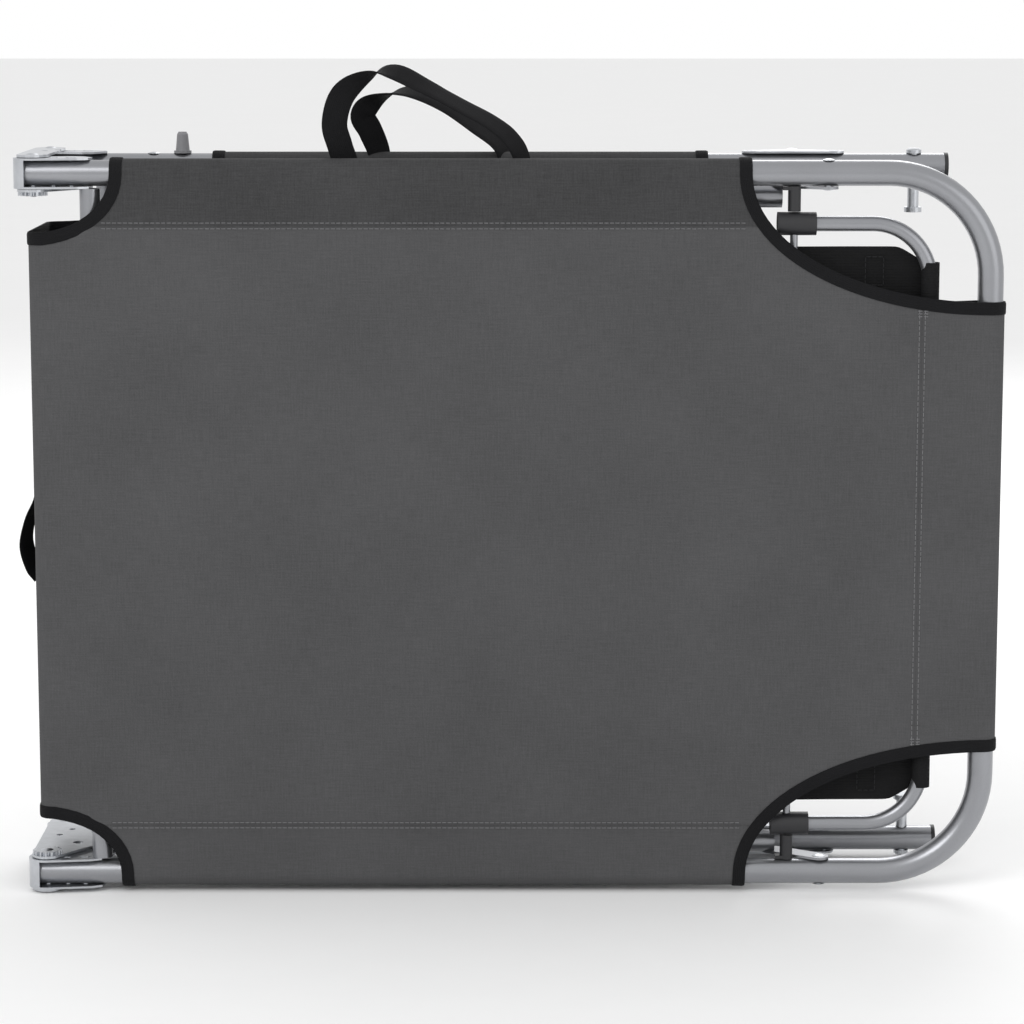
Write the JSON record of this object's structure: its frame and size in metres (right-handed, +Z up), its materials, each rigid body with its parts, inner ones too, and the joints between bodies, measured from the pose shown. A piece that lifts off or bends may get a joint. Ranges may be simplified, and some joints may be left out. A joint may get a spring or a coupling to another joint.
{
  "type": "folding sun lounger",
  "caption": "Folded three-section sun lounger on its long side: grey cloth over tube frames, fold-out legs, pressed hinges, a small head shade and webbing carry handles.",
  "frame": {"origin": "middle of the folded pack's outline on the floor that it stands on", "axes": "+X along the lounger from the back hinge to the head end's bend, +Y from the head section to the foot section through the pack's depth, +Z up across the lounger's width"},
  "size_m": [0.767, 0.1786, 0.6472],
  "materials": {
    "tube": "silver-grey powder coat, satin",
    "zinc": "zinc plated pressed steel",
    "cloth": "tight grey woven polyester with a fine mottle",
    "shade_fabric": "black woven polyester",
    "webbing": "black ribbed webbing and binding tape",
    "black_plastic": "moulded, matt",
    "grey_plastic": "moulded, satin"
  },
  "bodies": {
    "seat": {"seat_rail_top": "tube", "seat_rail_bottom": "tube", "seat_spreader_back": "tube", "seat_spreader_foot": "tube", "seat_brackets": "zinc", "seat_bracket_rivets": "zinc", "seat_cloth": "cloth", "rail_end_caps": "black_plastic", "foot_rest_studs": "zinc", "stud_nuts": "zinc", "seat_leg_rivets": "zinc", "leg_peg": "grey_plastic", "handle_back": "webbing", "foot_hinge_brackets": "zinc", "foot_hinge_bolts": "zinc"},
    "link": {"hinge_links": "zinc", "link_pivot_rivets": "zinc", "ratchet_discs": "zinc", "fold_cloth": "cloth", "closing_strap": "webbing"},
    "head": {"head_frame": "tube", "head_spreader": "tube", "head_brackets": "zinc", "head_bracket_rivets": "zinc", "head_cloth": "cloth", "head_leg_rivets": "zinc", "shade_posts": "black_plastic", "handle_front": "webbing"},
    "head_leg": {"head_leg": "tube"},
    "seat_leg": {"seat_leg": "tube"},
    "foot": {"foot_frame": "tube", "foot_spreader": "tube", "foot_hinge_arms": "zinc", "foot_cloth": "cloth", "foot_leg_rivets": "zinc"},
    "foot_leg": {"foot_leg": "tube"},
    "shade": {"shade_bow": "tube", "shade_sockets": "black_plastic", "shade_rod": "tube", "shade_cloth": "shade_fabric"}
  },
  "joints": [
    {"name": "back_fold", "type": "hinge", "parent": "seat", "child": "link", "pos_m": [-0.3689, 0.0303, 0.2925], "axis": [0, 0, -1], "range_deg": [0, 90]},
    {"name": "back_recline", "type": "hinge", "parent": "link", "child": "head", "pos_m": [-0.3689, -0.0747, 0.2925], "axis": [0, 0, -1], "range_deg": [0, 140]},
    {"name": "seat_leg_fold", "type": "hinge", "parent": "seat", "child": "seat_leg", "pos_m": [-0.2859, 0.0303, 0.2925], "axis": [0, 0, -1], "range_deg": [0, 90]},
    {"name": "head_leg_fold", "type": "hinge", "parent": "head", "child": "head_leg", "pos_m": [0.2451, -0.0747, 0.2925], "axis": [0, 0, -1], "range_deg": [0, 105]},
    {"name": "foot_fold", "type": "hinge", "parent": "seat", "child": "foot", "pos_m": [0.2271, 0.0513, 0.2925], "axis": [0, 0, -1], "range_deg": [0, 180]},
    {"name": "foot_leg_fold", "type": "hinge", "parent": "foot", "child": "foot_leg", "pos_m": [-0.1809, 0.0583, 0.2925], "axis": [0, 0, 1], "range_deg": [0, 100]},
    {"name": "shade_tilt", "type": "hinge", "parent": "head", "child": "shade", "pos_m": [0.2191, -0.0747, 0.2925], "axis": [0, 0, 1], "range_deg": [0, 75]}
  ],
  "couplings": [
    {"joint": "seat_leg_fold", "follows": "back_fold", "ratio": 1},
    {"joint": "head_leg_fold", "follows": "back_recline", "ratio": 0.75}
  ]
}
